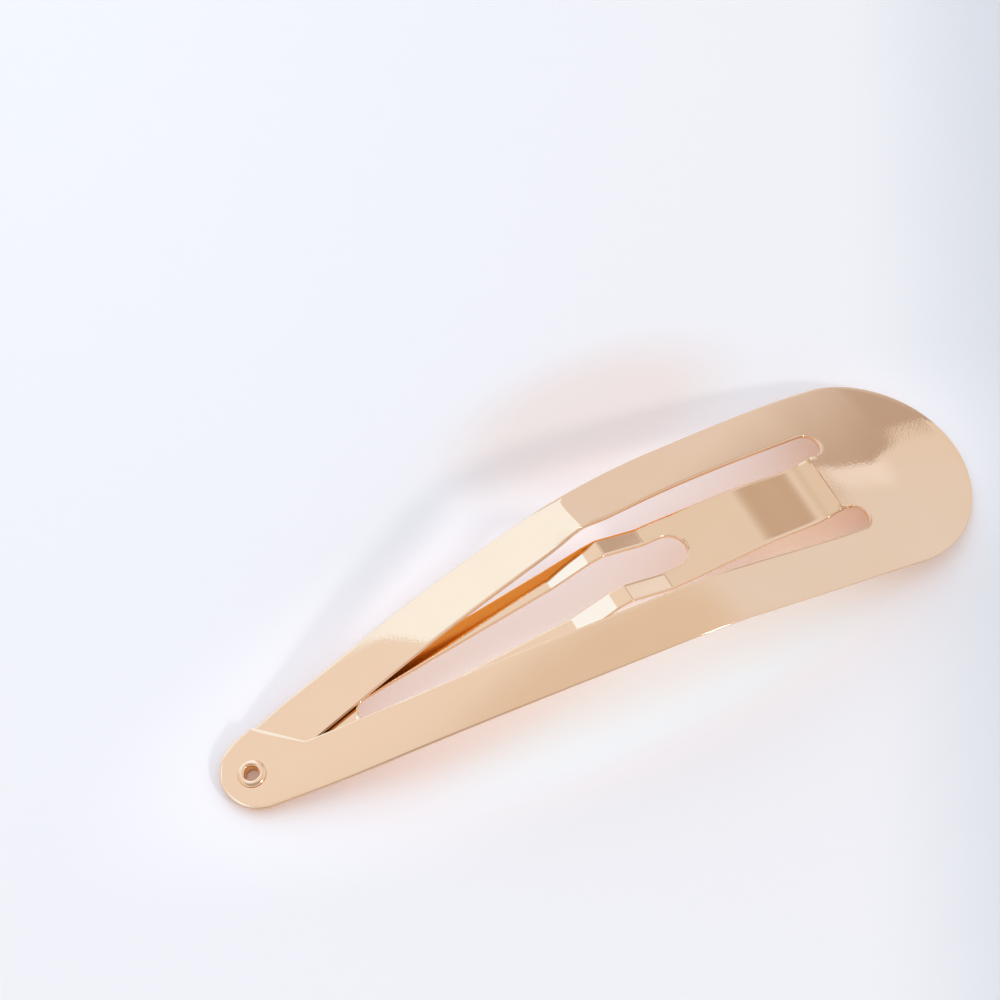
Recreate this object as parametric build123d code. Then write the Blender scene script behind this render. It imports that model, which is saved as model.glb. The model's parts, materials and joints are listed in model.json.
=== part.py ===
from build123d import *
import math
import os

# A snap hair clip: one stamped sheet of spring steel, arched and crowned, closed at its narrow end by a
# small clinched eyelet. Millimetres. +X runs from the wide head to the narrow end, +Y is the clip's left
# seen from above, and +Z is up. It lies on the surface z = 0 on the rim of its head and on its narrow end.

# Sheet
length = 90.0              # rim of the head to the narrow end
sheet = 0.45               # thickness of the steel
body_gap = 0.05            # play between the head and the arms that flex away from it
lap_gap = 0.05             # play between the two arm ends where they lap
seat_gap = 0.05            # play under the eyelet's two flanges, where they come nearest

# Plan
head_radius = 11.9         # round of the wide end
end_radius = 4.25          # round of the narrow end
side_radius = 420.0        # long arc of each outer edge
arm_width = 5.35           # the same all along each arm
slot_inset = 16.9          # rim of the head to the centre of each slot's round end
slot_radius = 1.5          # round end of the slot between tongue and arm
lap_reach = 4.9            # narrow end back to the outer corner of the lapped edge

# Arch, as the top face on the clip's centre line
crest_height = 9.85        # over the head's rim
end_rise = 0.15            # top of the narrow end over the head's rim, before the lap
head_crown = 58.0          # radius of the crown across the head
arm_crown = 34.5           # the same across the arms
crown_inset = 15.0         # rim of the head to where the crown begins to tighten
crown_ramp = 18.0          # length over which it does
run_out = 1.5              # how far the bent sheet runs past each plan outline before it is trimmed
lap_start = 21.0           # the arms begin to part in height this far before the lap's corner
lap_full = 8.0             # and have their whole difference this far before it
bow_inset = 47.0           # rim of the head to where the right arm bows up most over the left one
bow_half = 16.0            # half length of that bow
bow_rise = 0.95            # its height
twist_inset = 46.0         # rim of the head to where the right arm's inner edge kinks up
twist_half = 2.6           # distance from there at which the kink has half its slope
twist_slope = 0.33         # its slope across the arm

# Tongue
tongue_mid_half = 4.0      # half width at the humps
tongue_foot_half = 4.2     # half width at the foot of the humps' far slope
tongue_end_half = 2.9      # half width where the tines meet again
tongue_end_inset = 8.0     # narrow end back to the tongue's end
tongue_end_round = 1.6     # corners of the tongue's end
inner_slot_half = 1.95     # half width of the long slot between the tines
inner_slot_end_half = 0.9  # the same at its far end
inner_slot_inset = 37.4    # rim of the head to the centre of that slot's round root end
inner_slot_reach = 16.5    # narrow end back to the centre of its far end
step_drop = 0.5            # the tongue lies this far under the sheet after its stepped root
step_run = 0.9             # length of the step
step_flat = 0.75           # flat root before the step
hump_run = 13.4            # inner slot's round root to the foot of the humps' far slope
hump_rise = 1.75           # ridge of each hump over the foot of its near slope
panel_rise = 1.95          # foot of the stepped root to the foot of the humps' near slope
tongue_clearance = 0.35    # gap under the arms at the tongue's closed end

# Eyelet
eyelet_inset = 3.3         # narrow end back to its centre
eyelet_hole = 0.75         # radius of the hole through it
eyelet_barrel = 1.05       # radius of its barrel
eyelet_flange = 1.6        # radius of its upper flange
eyelet_foot = 1.5          # radius of its lower flange
flange_rise = 0.3          # height of the upper flange
foot_rise = 0.25           # height of the lower flange
barrel_clearance = 0.05    # radial play of the barrel in the arms

# Columns: station from the head's rim as a share of the length, height over that rim as a share of the
# crest's. The narrow end, whose height is end_rise, comes after the last row.
ARCH = [
    (0.000, 0.000),
    (0.039, 0.095),
    (0.078, 0.225),
    (0.117, 0.357),
    (0.156, 0.462),
    (0.189, 0.543),
    (0.233, 0.640),
    (0.278, 0.745),
    (0.322, 0.845),
    (0.367, 0.933),
    (0.406, 0.980),
    (0.444, 1.000),
    (0.478, 0.997),
    (0.511, 0.982),
    (0.567, 0.928),
    (0.611, 0.862),
    (0.667, 0.765),
    (0.722, 0.655),
    (0.789, 0.495),
    (0.856, 0.325),
    (0.911, 0.202),
]

# Columns: place on the panel as a share from the foot of its stepped root to the humps' near slope, and the
# panel's rise there as a share of its whole rise.
PANEL = [
    (0.25, 0.23),
    (0.59, 0.77),
    (0.88, 0.92),
]

# Sections at the right arm's kink, as shares of its half width from the kink.
KINK = [-2.0, -1.2, -0.6, 0.0, 0.6, 1.2, 2.0]

# Columns: place of each crease of the humps as a share of their run, height as a share of their rise.
HUMP = [
    (0.15, 0.00),
    (0.53, 1.00),
    (0.66, 0.86),
    (1.00, -0.17),
]

head_rim = -length / 2
narrow_end = length / 2
head_centre = head_rim + head_radius
end_centre = narrow_end - end_radius
root_x = head_rim + slot_inset
eyelet_x = narrow_end - eyelet_inset
hump_x = head_rim + inner_slot_inset
ridge_x = hump_x + HUMP[2][0] * hump_run
foot_x = hump_x + HUMP[3][0] * hump_run
meet_x = narrow_end - inner_slot_reach
tongue_end_x = narrow_end - tongue_end_inset


def side_centre():
    """Centre of the left outer edge's arc, which is tangent to both round ends."""
    span = end_centre - head_centre
    to_head = side_radius - head_radius
    to_end = side_radius - end_radius
    along = (span ** 2 + to_head ** 2 - to_end ** 2) / (2 * span)
    return head_centre + along, -math.sqrt(to_head ** 2 - along ** 2)


side_x, side_y = side_centre()


def edge_y(x, inset=0.0):
    """Half width of the sheet's outer edge at x, or of a line parallel to it."""
    return side_y + math.sqrt((side_radius - inset) ** 2 - (x - side_x) ** 2)


def tangent_point(x, radius):
    """Where the left side arc leaves the round end of that radius centred at x."""
    reach = math.hypot(x - side_x, side_y)
    return x + radius * (x - side_x) / reach, -radius * side_y / reach


def side_arc(x_a, x_b, inset, side):
    """Stretch of an outer edge, or of a line parallel to it, between two stations."""
    x_m = (x_a + x_b) / 2
    ends = [(x, side * edge_y(x, inset)) for x in (x_a, x_m, x_b)]
    return ThreePointArc(*ends)


def vee_station():
    """Station where the inner edges of the two arms meet."""
    return side_x + math.sqrt((side_radius - arm_width) ** 2 - side_y ** 2)


vee_x = vee_station()
arm_inner = edge_y(root_x, arm_width)
tongue_root_half = arm_inner - 2 * slot_radius
head_tangent = tangent_point(head_centre, head_radius)
end_tangent = tangent_point(end_centre, end_radius)
lap_x = min(narrow_end - lap_reach, end_tangent[0])


def smooth_step(share):
    """Ramp from 0 to 1 with level ends."""
    share = min(max(share, 0.0), 1.0)
    return share * share * (3 - 2 * share)


def arch_line():
    """Top line of the bent sheet on the centre line, before the arms part in height."""
    rows = [(head_rim + station * length, height * crest_height) for station, height in ARCH]
    return Spline(*rows, (narrow_end, end_rise))


arch = arch_line()


def arch_z(x):
    """Height of the arch at x. Past its two ends it runs on straight."""
    for end, at in ((head_rim, 0), (narrow_end, 1)):
        if (x - end) * (2 * at - 1) >= 0:
            place, way = arch.position_at(at), arch.tangent_at(at)
            return place.Y + (x - place.X) * way.Y / way.X
    low, high = 0.0, 1.0
    for _ in range(40):
        middle = (low + high) / 2
        if arch.position_at(middle).X < x:
            low = middle
        else:
            high = middle
    return arch.position_at(low).Y


def lap_rise():
    """Height of each arm's lapped end over or under the arch."""
    fall = arch_z(vee_x) - arch_z(narrow_end)
    stretch = math.hypot(1, fall / (narrow_end - vee_x))
    return stretch * (sheet + lap_gap) / 2


lap_height = lap_rise()


def crown_radius(x):
    """Radius of the crown across the sheet at x."""
    share = smooth_step((x - head_rim - crown_inset) / crown_ramp)
    return head_crown + share * (arm_crown - head_crown)


def surface_z(x, y=0.0, side=0):
    """Height of the top face over a point of the plan: side 1 on the left arm, -1 on the right, 0 between."""
    radius = crown_radius(x)
    height = arch_z(x) + math.sqrt(radius ** 2 - y ** 2) - radius
    lap_share = (x - vee_x + lap_start) / (lap_start - lap_full)
    height += side * lap_height * smooth_step(lap_share)
    along = (x - head_rim - bow_inset) / bow_half
    if abs(along) < 1:
        height -= side * bow_rise / 2 * math.cos(along * math.pi / 2) ** 2
    if side == -1:
        off = (x - head_rim - twist_inset) / twist_half
        slope = twist_slope / (1 + off ** 2) * (1 - smooth_step(lap_share))
        height += slope * (edge_y(x) + y)
    return height


def section(x, y_from, y_to, side):
    """The bent sheet's thickness at a station, from one y to another."""
    places = (y_from, (y_from + y_to) / 2, y_to)
    ahead = surface_z(x + sheet, places[1], side)
    behind = surface_z(x - sheet, places[1], side)
    drop = sheet * math.hypot(1, (ahead - behind) / (2 * sheet))
    top = [(x, y, surface_z(x, y, side)) for y in places]
    bottom = [(x, y, z - drop) for x, y, z in top]
    edges = [
        ThreePointArc(*top),
        Line(top[2], bottom[2]),
        ThreePointArc(*reversed(bottom)),
        Line(bottom[0], top[0]),
    ]
    return Face(Wire(edges))


def stations_between(x_from, x_to, side):
    """Stations of the sections that a stretch of the bent sheet is lofted through."""
    stations = [head_rim + station * length for station, _ in ARCH] + [narrow_end]
    if side == -1:
        kink = [head_rim + twist_inset + share * twist_half for share in KINK]
        stations = [x for x in stations if not kink[0] - run_out < x < kink[-1] + run_out] + kink
    return [x_from, *sorted(x for x in stations if x_from + run_out / 2 < x < x_to - run_out / 2), x_to]


def bent_band(x_from, x_to, side=0):
    """A stretch of the bent sheet, wider than the plan that is cut from it."""
    inner_reach = edge_y(vee_x) + run_out
    faces = []
    for x in stations_between(x_from, x_to, side):
        outer = edge_y(x) + run_out
        ends = (-inner_reach, outer) if side == 1 else (-outer, inner_reach if side else outer)
        faces.append(section(x, *ends, side))
    return loft(faces)


def cut_plan(face, band):
    """The piece of a bent band that lies over a plan face."""
    deep = 2 * crest_height
    prism = extrude(Pos(0, 0, -deep) * face, 3 * deep)
    return (band & prism).solid()


def head_plan():
    """Wide end of the sheet, with the round ends of both slots."""
    edge_x = root_x - body_gap / 2
    edges = [ThreePointArc(head_tangent, (head_rim, 0), (head_tangent[0], -head_tangent[1]))]
    slot_mid = arm_inner - slot_radius
    dip = math.sqrt(slot_radius ** 2 - (body_gap / 2) ** 2)
    for side in (1, -1):
        outer = side_arc(head_tangent[0], edge_x, 0, side)
        slot_from = (edge_x, side * (slot_mid + dip))
        slot_to = (edge_x, side * (slot_mid - dip))
        edges.append(outer)
        edges.append(Line((edge_x, side * edge_y(edge_x)), slot_from))
        edges.append(ThreePointArc(slot_from, (root_x - slot_radius, side * slot_mid), slot_to))
    edges.append(Line((edge_x, slot_mid - dip), (edge_x, dip - slot_mid)))
    return make_face(edges)


def arm_plan(side):
    """One arm and its round end, whose back edge laps over or under the other arm."""
    edge_x = root_x + body_gap / 2
    corner = (lap_x, -side * edge_y(lap_x))
    far_side = (end_tangent[0], -side * end_tangent[1])
    near_side = (end_tangent[0], side * end_tangent[1])
    edges = [
        Line((edge_x, side * edge_y(edge_x, arm_width)), (edge_x, side * edge_y(edge_x))),
        side_arc(edge_x, end_tangent[0], 0, side),
        ThreePointArc(near_side, (narrow_end, 0), far_side),
        Line(corner, (vee_x, 0)),
        side_arc(edge_x, vee_x, arm_width, side),
    ]
    if lap_x < end_tangent[0]:
        edges.append(side_arc(lap_x, end_tangent[0], 0, -side))
    return make_face(edges)


def tongue_plan():
    """Root, panel and two tines of the tongue, closed at the far end."""
    half = [
        (root_x + body_gap / 2, tongue_root_half),
        (hump_x, tongue_mid_half),
        (ridge_x, tongue_mid_half),
        (foot_x, tongue_foot_half),
        (tongue_end_x, tongue_end_half),
    ]
    outline = Polyline(*half, *[(x, -y) for x, y in reversed(half)], close=True)
    blank = make_face(outline)
    far = [v for v in blank.vertices() if v.X > tongue_end_x - body_gap]
    blank = fillet(far, tongue_end_round)
    inner = [
        (hump_x, inner_slot_half),
        (foot_x, inner_slot_half),
        (meet_x, inner_slot_end_half),
    ]
    lower = [(x, -y) for x, y in inner]
    slot = make_face([
        Polyline(*inner),
        Polyline(*lower),
        ThreePointArc(inner[0], (hump_x - inner_slot_half, 0), lower[0]),
        ThreePointArc(inner[-1], (meet_x + inner_slot_end_half, 0), lower[-1]),
    ])
    return blank - slot


def tongue_line():
    """Creases of the tongue's top face, from its root to its closed end."""
    root = root_x + body_gap / 2
    crease = root_x + step_flat
    foot = crease + step_run
    foot_z = surface_z(crease) - step_drop
    near_slope = hump_x + HUMP[0][0] * hump_run
    line = [(root, surface_z(root)), (crease, surface_z(crease)), (foot, foot_z)]
    for place, rise in PANEL:
        line.append((foot + place * (near_slope - foot), foot_z + rise * panel_rise))
    for place, rise in HUMP:
        line.append((hump_x + place * hump_run, foot_z + panel_rise + rise * hump_rise))
    under_arm = sheet + lap_height + tongue_clearance
    for x in (meet_x, tongue_end_x):
        line.append((x, surface_z(x, tongue_end_half) - under_arm))
    return line


def strip(points):
    """Side view of a creased strip of the sheet, whose top follows the points."""
    normals = []
    for (x_a, z_a), (x_b, z_b) in zip(points, points[1:]):
        run = math.hypot(x_b - x_a, z_b - z_a)
        normals.append(((z_b - z_a) / run, -(x_b - x_a) / run))
    under = []
    for i, (x, z) in enumerate(points):
        before = normals[max(i - 1, 0)]
        after = normals[min(i, len(normals) - 1)]
        middle = (before[0] + after[0], before[1] + after[1])
        scale = 2 * sheet / (middle[0] ** 2 + middle[1] ** 2)
        under.append((x + middle[0] * scale, z + middle[1] * scale))
    return make_face(Polyline(*points, *reversed(under), close=True))


def make_head_plate():
    """Wide rounded end of the sheet."""
    return cut_plan(head_plan(), bent_band(head_rim - run_out, root_x + run_out))


def make_arm(side):
    """Left arm (side 1), whose end lies on top, or right arm (side -1), whose end lies underneath."""
    blank = cut_plan(arm_plan(side), bent_band(root_x - run_out, narrow_end + run_out, side))
    return blank - eyelet_frame() * Cylinder(eyelet_barrel + barrel_clearance, 10 * sheet)


def make_tongue():
    """Stepped tongue with a hump on each of its two tines."""
    side_view = Rot(90, 0, 0) * strip(tongue_line())
    wide = 2 * tongue_mid_half
    band = extrude(side_view, wide, both=True)
    return cut_plan(tongue_plan(), band)


def eyelet_frame():
    """Place and tilt of the eyelet: square to the lapped ends, midway between them."""
    fall = surface_z(eyelet_x - eyelet_flange) - surface_z(eyelet_x + eyelet_flange)
    tilt = math.degrees(math.atan2(fall, 2 * eyelet_flange))
    middle = surface_z(eyelet_x) - sheet / 2
    return Pos(eyelet_x, 0, middle) * Rot(0, tilt, 0)


def make_eyelet():
    """Clinched tube through both arm ends, with a rounded flange above and a flat one below."""
    top = sheet + lap_gap / 2 + seat_gap
    crest = top + flange_rise
    crown_sag = eyelet_foot ** 2 / (2 * arm_crown)
    bottom = -sheet - lap_gap / 2 - seat_gap - crown_sag
    foot = bottom - foot_rise
    lip = (eyelet_hole + eyelet_flange) / 2
    half = make_face([
        Line((eyelet_hole, foot), (eyelet_foot, foot)),
        Line((eyelet_foot, foot), (eyelet_foot, bottom)),
        Line((eyelet_foot, bottom), (eyelet_barrel, bottom)),
        Line((eyelet_barrel, bottom), (eyelet_barrel, top)),
        Line((eyelet_barrel, top), (eyelet_flange, top)),
        ThreePointArc((eyelet_flange, top), (lip, crest), (eyelet_hole, top)),
        Line((eyelet_hole, top), (eyelet_hole, foot)),
    ])
    ring = revolve(Rot(90, 0, 0) * half, Axis.Z)
    return eyelet_frame() * ring


def main():
    """Build the pieces, set them on z = 0 and write one file for each."""
    pieces = {
        "head_plate": make_head_plate(),
        "left_arm": make_arm(1),
        "right_arm": make_arm(-1),
        "tongue": make_tongue(),
        "eyelet": make_eyelet(),
    }
    lowest = min(piece.bounding_box().min.Z for piece in pieces.values())
    os.makedirs("parts", exist_ok=True)
    for name, piece in pieces.items():
        rested = Pos(0, 0, -lowest) * piece
        export_step(rested, f"parts/{name}.step")
        size = rested.bounding_box()
        print(name, "volume", round(rested.volume, 2), "low", size.min, "high", size.max)
    axis_z = surface_z(root_x) - lowest
    print("snap axis at x", round(root_x, 3), "z", round(axis_z, 3))
    hole = eyelet_frame().position
    print("eyelet at x", round(hole.X, 3), "z", round(hole.Z - lowest, 3), "vee", round(vee_x, 3))


main()
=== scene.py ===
"""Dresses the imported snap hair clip: one bent and plated sheet, its stepped tongue and its clinched eyelet.

The clip's sizes are in millimetres, as a maker would write them. Every finished mesh is scaled to metres.
"""
import json
import logging
import math
from collections.abc import Callable
from dataclasses import dataclass, field
from enum import Enum

import bpy
import numpy as np
from mathutils import Matrix, Vector


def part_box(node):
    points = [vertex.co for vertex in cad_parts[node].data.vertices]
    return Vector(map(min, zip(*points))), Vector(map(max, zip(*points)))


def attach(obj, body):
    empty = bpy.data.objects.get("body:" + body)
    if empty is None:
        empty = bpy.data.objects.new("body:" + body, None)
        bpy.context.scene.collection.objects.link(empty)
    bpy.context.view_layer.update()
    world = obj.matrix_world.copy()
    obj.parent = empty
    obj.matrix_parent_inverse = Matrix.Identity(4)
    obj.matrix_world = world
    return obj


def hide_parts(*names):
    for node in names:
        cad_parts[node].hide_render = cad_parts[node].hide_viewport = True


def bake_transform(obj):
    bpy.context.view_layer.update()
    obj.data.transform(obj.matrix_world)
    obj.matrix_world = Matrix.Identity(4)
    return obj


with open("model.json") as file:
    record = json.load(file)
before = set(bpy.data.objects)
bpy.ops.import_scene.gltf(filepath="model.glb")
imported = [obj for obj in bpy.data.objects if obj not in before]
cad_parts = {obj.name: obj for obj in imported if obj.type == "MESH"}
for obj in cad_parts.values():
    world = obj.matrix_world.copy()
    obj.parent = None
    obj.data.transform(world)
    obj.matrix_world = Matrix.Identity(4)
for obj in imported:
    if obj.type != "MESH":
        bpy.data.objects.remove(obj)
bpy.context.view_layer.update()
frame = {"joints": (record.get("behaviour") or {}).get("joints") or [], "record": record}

MM = 0.001
BREAK_TURN = 50.0       # degrees between two faces past which the edge between them is broken
SMOOTH_TURN = 60.0      # degrees between two faces up to which they are shaded as one
log = logging.getLogger("hair_clip")

Spot = tuple[float, float]
Point = tuple[float, float, float]
Row = tuple[float, float, float]
Tint = tuple[float, float, float, float]
Tree = bpy.types.NodeTree
Socket = bpy.types.NodeSocket
Piece = bpy.types.Object

# Kinds of node with their settings. The mix takes its share and its two colours at inputs 0, 6 and 7, and
# gives the result at output 2.
COLOUR_MIX = ("ShaderNodeMix", {"data_type": "RGBA"})
SOFT_RAMP = ("ShaderNodeMapRange", {"interpolation_type": "SMOOTHSTEP"})
DOT_PRODUCT = ("ShaderNodeVectorMath", {"operation": "DOT_PRODUCT"})
PRODUCT = ("ShaderNodeMath", {"operation": "MULTIPLY"})


class Side(Enum):
    """Which of the two arms a point of the sheet belongs to."""

    LEFT = 1
    HEAD = 0
    RIGHT = -1


class Slot(Enum):
    """The record's material slots."""

    SHEET = "plated_sheet"
    TONGUE = "plated_tongue"
    EYELET = "plated_eyelet"


def to_linear(code: str) -> Tint:
    """Turn an sRGB hex colour into the linear colour that shaders use.

    Args:
        code: Six hex digits after a hash sign.

    Returns:
        Red, green, blue and an alpha of one.
    """
    channels = [int(code[i:i + 2], 16) / 255 for i in (1, 3, 5)]
    linear = [c / 12.92 if c <= 0.04045 else ((c + 0.055) / 1.055) ** 2.4 for c in channels]
    return (*linear, 1.0)


def smooth_step(share: float) -> float:
    """Ramp from 0 to 1 with level ends."""
    share = min(max(share, 0.0), 1.0)
    return share * share * (3 - 2 * share)


def add_node(tree: Tree, kind: str, settings: dict[str, object] | None = None,
             **inputs: object) -> bpy.types.Node:
    """Add a shader node with its settings, socket values and links.

    Args:
        tree: Node tree that gets the node.
        kind: Blender's name of the node type.
        settings: Attributes of the node itself.
        inputs: Values or output sockets, by input name with underscores for spaces, or by i and its number.

    Returns:
        The new node.
    """
    node = tree.nodes.new(kind)
    for name, value in (settings or {}).items():
        setattr(node, name, value)
    for name, value in inputs.items():
        key = int(name[1:]) if name[0] == "i" and name[1:].isdigit() else name.replace("_", " ")
        if isinstance(value, Socket):
            tree.links.new(value, node.inputs[key])
        else:
            node.inputs[key].default_value = value
    return node


def start_material(name: str) -> tuple[bpy.types.Material, Tree, bpy.types.Node]:
    """Open a new material.

    Args:
        name: Its finish, in a maker's words.

    Returns:
        The material, its emptied node tree and the node of its coordinates.
    """
    material = bpy.data.materials.new(name)
    material.use_nodes = True
    tree = material.node_tree
    tree.nodes.clear()
    return material, tree, add_node(tree, "ShaderNodeTexCoord")


class CurveLine:
    """Smooth line through given points: a natural cubic spline."""

    def __init__(self, points: list[Spot]) -> None:
        """Work out the second slopes at the points.

        Args:
            points: Places and heights in order of place.
        """
        self.x, self.z = np.array(points, float).T
        run = np.diff(self.x)
        rise = np.diff(self.z) / run
        count = len(self.x)
        system = np.eye(count)
        load = np.zeros(count)
        for i in range(1, count - 1):
            system[i, i - 1:i + 2] = run[i - 1], 2 * (run[i - 1] + run[i]), run[i]
            load[i] = 6 * (rise[i] - rise[i - 1])
        self.bend = np.linalg.solve(system, load)
        self.run = run
        self.rise = rise

    def at(self, x: float) -> float:
        """Work out the height at x, running on straight past the two ends.

        Args:
            x: Place along the line.

        Returns:
            The line's height there.
        """
        if x < self.x[0]:
            return self.z[0] + (x - self.x[0]) * (self.rise[0] - self.run[0] * self.bend[1] / 6)
        if x > self.x[-1]:
            return self.z[-1] + (x - self.x[-1]) * (self.rise[-1] + self.run[-1] * self.bend[-2] / 6)
        i = min(int(np.searchsorted(self.x, x, side="right")) - 1, len(self.run) - 1)
        run = self.run[i]
        b = (x - self.x[i]) / run
        a = 1 - b
        curve = (a ** 3 - a) * self.bend[i] + (b ** 3 - b) * self.bend[i + 1]
        return a * self.z[i] + b * self.z[i + 1] + curve * run ** 2 / 6


class CreaseLine:
    """Straight runs joined by a rounded crease at each inner point."""

    def __init__(self, points: list[Spot], halves: list[float]) -> None:
        """Keep the runs and each crease's half length.

        Args:
            points: Places and heights in order of place.
            halves: Half length of the rounding at each inner point.
        """
        self.points = points
        self.halves = halves
        self.slopes = [(b[1] - a[1]) / (b[0] - a[0]) for a, b in zip(points, points[1:])]

    def at(self, x: float) -> float:
        """Work out the height at x.

        Args:
            x: Place along the line.

        Returns:
            The line's height there.
        """
        x_0, z_0 = self.points[0]
        height = z_0 + self.slopes[0] * (x - x_0)
        creases = zip(self.points[1:-1], self.halves, self.slopes, self.slopes[1:])
        for (place, _), half, before, after in creases:
            past = x - place
            if past >= half:
                height += (after - before) * past
            elif past > -half:
                height += (after - before) * (past + half) ** 2 / (4 * half)
        return height


@dataclass(frozen=True)
class PlatedSteel:
    """Spring steel, stamped and electroplated rose gold: bright, with a faint orange peel and satin grain,
    and painted reflected light on its faces turned down.
    """

    name: str
    base: str = "#EDCBA8"           # plating's own tint at right angles
    warm: str = "#EBC7A2"           # where the plating is a little thicker
    roughness: float = 0.05
    rough_swing: float = 0.02       # how far the roughness wanders
    mottle_mm: float = 6.0          # size of the plating's cloudy patches
    mottle_low: float = 0.3         # noise value of the smoothest patches
    mottle_high: float = 0.7        # and of the roughest
    peel_mm: float = 1.1            # size of the orange peel
    peel_depth_mm: float = 0.0006
    grain_mm: float = 0.28          # size of the satin grain
    grain_depth_mm: float = 0.003
    inner: str = "#FFC66C"          # painted reflected light: deeper tone of the faces turned down, for the light that two layers throw about between them
    inner_roughness: float = 0.22
    inner_start: float = -0.2       # how far up a face points where the painted deeper tone begins
    inner_stop: float = -0.6

    def tint(self, tree: Tree, place: Socket, mottle: Socket) -> Socket:
        """Mix the plating's own colour, which its clouds vary."""
        mixed = add_node(tree, *COLOUR_MIX, i0=mottle, i6=to_linear(self.base), i7=to_linear(self.warm))
        return mixed.outputs[2]

    def build(self) -> bpy.types.Material:
        """Build the material from nodes on Object coordinates.

        Returns:
            The plating's material.
        """
        material, tree, coords = start_material(self.name)
        place = coords.outputs["Object"]
        mottle = add_node(tree, "ShaderNodeTexNoise", Vector=place,
                          Scale=1 / (self.mottle_mm * MM)).outputs["Fac"]
        rough = add_node(tree, "ShaderNodeMapRange", Value=mottle, From_Min=self.mottle_low,
                         From_Max=self.mottle_high, To_Min=self.roughness - self.rough_swing / 2,
                         To_Max=self.roughness + self.rough_swing / 2)
        upward = add_node(tree, "ShaderNodeSeparateXYZ", Vector=coords.outputs["Normal"]).outputs["Z"]
        # painted reflected light: the faces turned down get the deeper tone
        down = add_node(tree, "ShaderNodeMapRange", Value=upward, From_Min=self.inner_start,
                        From_Max=self.inner_stop).outputs["Result"]
        tint = add_node(tree, *COLOUR_MIX, i0=down, i6=self.tint(tree, place, mottle),
                        i7=to_linear(self.inner))
        rough = add_node(tree, "ShaderNodeMapRange", Value=down, To_Min=rough.outputs["Result"],
                         To_Max=self.inner_roughness)
        peel = add_node(tree, "ShaderNodeTexNoise", Vector=place, Scale=1 / (self.peel_mm * MM), Detail=1.0)
        grain = add_node(tree, "ShaderNodeTexNoise", Vector=place, Scale=1 / (self.grain_mm * MM), Detail=2.0)
        waves = add_node(tree, "ShaderNodeBump", Height=peel.outputs["Fac"], Strength=1.0,
                         Distance=self.peel_depth_mm * MM)
        bump = add_node(tree, "ShaderNodeBump", Height=grain.outputs["Fac"], Strength=1.0,
                        Distance=self.grain_depth_mm * MM, Normal=waves.outputs["Normal"])
        shader = add_node(tree, "ShaderNodeBsdfPrincipled", Base_Color=tint.outputs[2], Metallic=1.0,
                          Roughness=rough.outputs["Result"], Normal=bump.outputs["Normal"])
        add_node(tree, "ShaderNodeOutputMaterial", Surface=shader.outputs["BSDF"])
        return material


@dataclass(frozen=True)
class FoldShadedSteel(PlatedSteel):
    """The same plating on the inner strip, with painted shade in the fold at its root."""

    # painted shade in the fold at the strip's root
    fold_shade: str = "#DFBC96"
    fold_shade_full: float = -25.9        # station in millimetres up to which the fold has its full painted shade
    fold_shade_gone: float = -24.4        # and from which it has none

    def tint(self, tree: Tree, place: Socket, mottle: Socket) -> Socket:
        """Mix the plating's own colour and darken it with painted shade in the fold.

        Args:
            tree: The material's node tree.
            place: Object coordinates.
            mottle: Noise of the plating's clouds.

        Returns:
            The strip's colour.
        """
        plain = super().tint(tree, place, mottle)
        along = add_node(tree, "ShaderNodeSeparateXYZ", Vector=place).outputs["X"]
        near = add_node(tree, *SOFT_RAMP, Value=along, From_Min=self.fold_shade_gone * MM,
                        From_Max=self.fold_shade_full * MM)
        mixed = add_node(tree, *COLOUR_MIX, i0=near.outputs["Result"], i6=plain, i7=to_linear(self.fold_shade))
        return mixed.outputs[2]


@dataclass(frozen=True)
class Wash:
    """Oval of the floor that light thrown by the plating, or kept off by the clip, tones differently."""

    centre: Spot
    reach: Spot
    tint: str = "#FFFFFF"
    rim: float = 1.3                # the tone fades in from here, as a share of the reach
    core: float = 0.5               # to full strength here

    def mask(self, tree: Tree, place: Socket) -> Socket:
        """Add the nodes that mark the oval.

        Args:
            tree: The floor's node tree.
            place: Object coordinates.

        Returns:
            1 in the oval's core and 0 outside it.
        """
        (x, y), (half_x, half_y) = self.centre, self.reach
        off = add_node(tree, "ShaderNodeVectorMath", {"operation": "SUBTRACT"}, i0=place,
                       i1=(x * MM, y * MM, 0))
        squeezed = add_node(tree, "ShaderNodeVectorMath", {"operation": "MULTIPLY"}, i0=off.outputs["Vector"],
                            i1=(1 / (half_x * MM), 1 / (half_y * MM), 0))
        reach = add_node(tree, "ShaderNodeVectorMath", {"operation": "LENGTH"}, i0=squeezed.outputs["Vector"])
        inside = add_node(tree, *SOFT_RAMP, Value=reach.outputs["Value"], From_Min=self.rim,
                          From_Max=self.core)
        return inside.outputs["Result"]


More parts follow.
